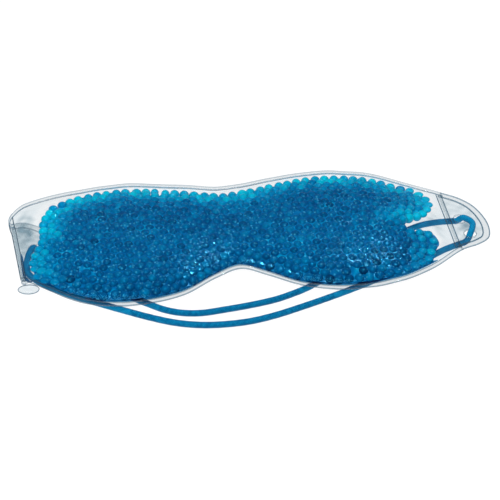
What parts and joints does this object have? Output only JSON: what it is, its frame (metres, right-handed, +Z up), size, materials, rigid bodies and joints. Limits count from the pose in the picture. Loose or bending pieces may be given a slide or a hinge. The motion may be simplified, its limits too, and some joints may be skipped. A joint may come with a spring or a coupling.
{
  "type": "gel bead eye mask",
  "caption": "Soft clear-film eye mask filled with blue gel beads, with a folding tab at each end and a round elastic cord threaded through both tabs.",
  "frame": {"origin": "middle of the mask's own box (without the cord), on the table it lies on", "axes": "+X along the mask towards the flat tab, +Y towards the forehead edge, +Z up from the table"},
  "size_m": [0.194, 0.094, 0.0121],
  "materials": {
    "clear_film": "clear soft PVC film, glossy and slightly wrinkled",
    "welded_film": "fused band of clear film, glossy, slightly milky",
    "gel_beads": "wet translucent blue gel beads about 4 mm across",
    "elastic_cord": "round braided elastic, matt teal blue",
    "join_sleeve": "clear shrunk sleeve"
  },
  "bodies": {
    "root": {"front_film": "clear_film", "back_film": "clear_film", "bead_fill": "gel_beads", "upper_rim_weld": "welded_film", "lower_rim_weld": "welded_film", "right_cross_weld": "welded_film", "upper_cord_strand": "elastic_cord", "lower_cord_strand": "elastic_cord", "cord_join": "join_sleeve"},
    "right_tab": {"right_tab_front_film": "clear_film", "right_tab_back_film": "clear_film", "right_tab_rim_weld": "welded_film", "right_cord_loop": "elastic_cord"},
    "left_tab": {"left_cross_weld": "welded_film", "left_tab_front_film": "clear_film", "left_tab_back_film": "clear_film", "left_tab_rim_weld": "welded_film", "left_cord_loop": "elastic_cord"}
  },
  "joints": [
    {"name": "left_tab_fold", "type": "hinge", "parent": "root", "child": "left_tab", "pos_m": [-0.09695, -0.0005, 0.00485], "axis": [0, 1, 0], "range_deg": [0, 180]},
    {"name": "right_tab_fold", "type": "hinge", "parent": "root", "child": "right_tab", "pos_m": [0.08255, -0.0005, 0], "axis": [0, 1, 0], "range_deg": [0, 180]}
  ]
}
